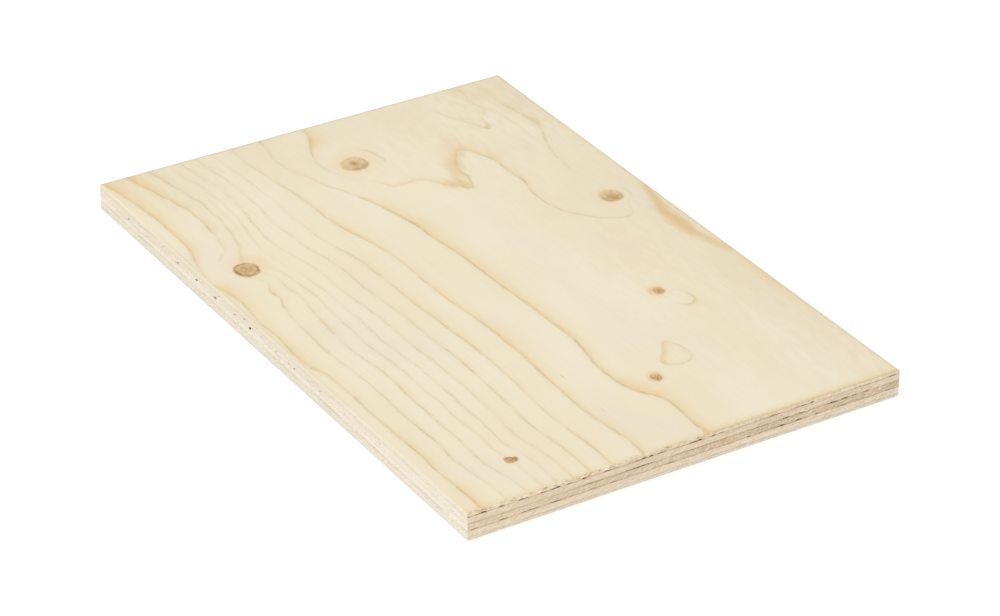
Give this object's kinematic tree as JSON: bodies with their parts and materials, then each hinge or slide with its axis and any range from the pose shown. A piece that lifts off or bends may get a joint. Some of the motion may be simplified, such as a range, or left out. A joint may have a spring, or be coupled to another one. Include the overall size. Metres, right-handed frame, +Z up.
{
  "type": "plywood sheet",
  "caption": "Flat rectangular softwood plywood panel of cross-laminated veneers, with a sanded knotty face and sawn edges that show the plies.",
  "frame": {"origin": "middle of the underside, on the surface the panel lies on", "axes": "+X along the length and the grain of the face, +Y across the width, +Z up through the thickness"},
  "size_m": [0.3, 0.2, 0.012],
  "materials": {
    "face_wood": "pale softwood veneer, sanded, bare",
    "crossband_wood": "softwood veneer with its grain across the width, sawn edge",
    "centre_wood": "softwood veneer with its grain along the length, sawn edge",
    "back_wood": "pale softwood veneer, sanded, bare"
  },
  "bodies": {
    "root": {"face_veneer": "face_wood", "upper_crossband": "crossband_wood", "centre_veneer": "centre_wood", "lower_crossband": "crossband_wood", "back_veneer": "back_wood"}
  },
  "joints": []
}
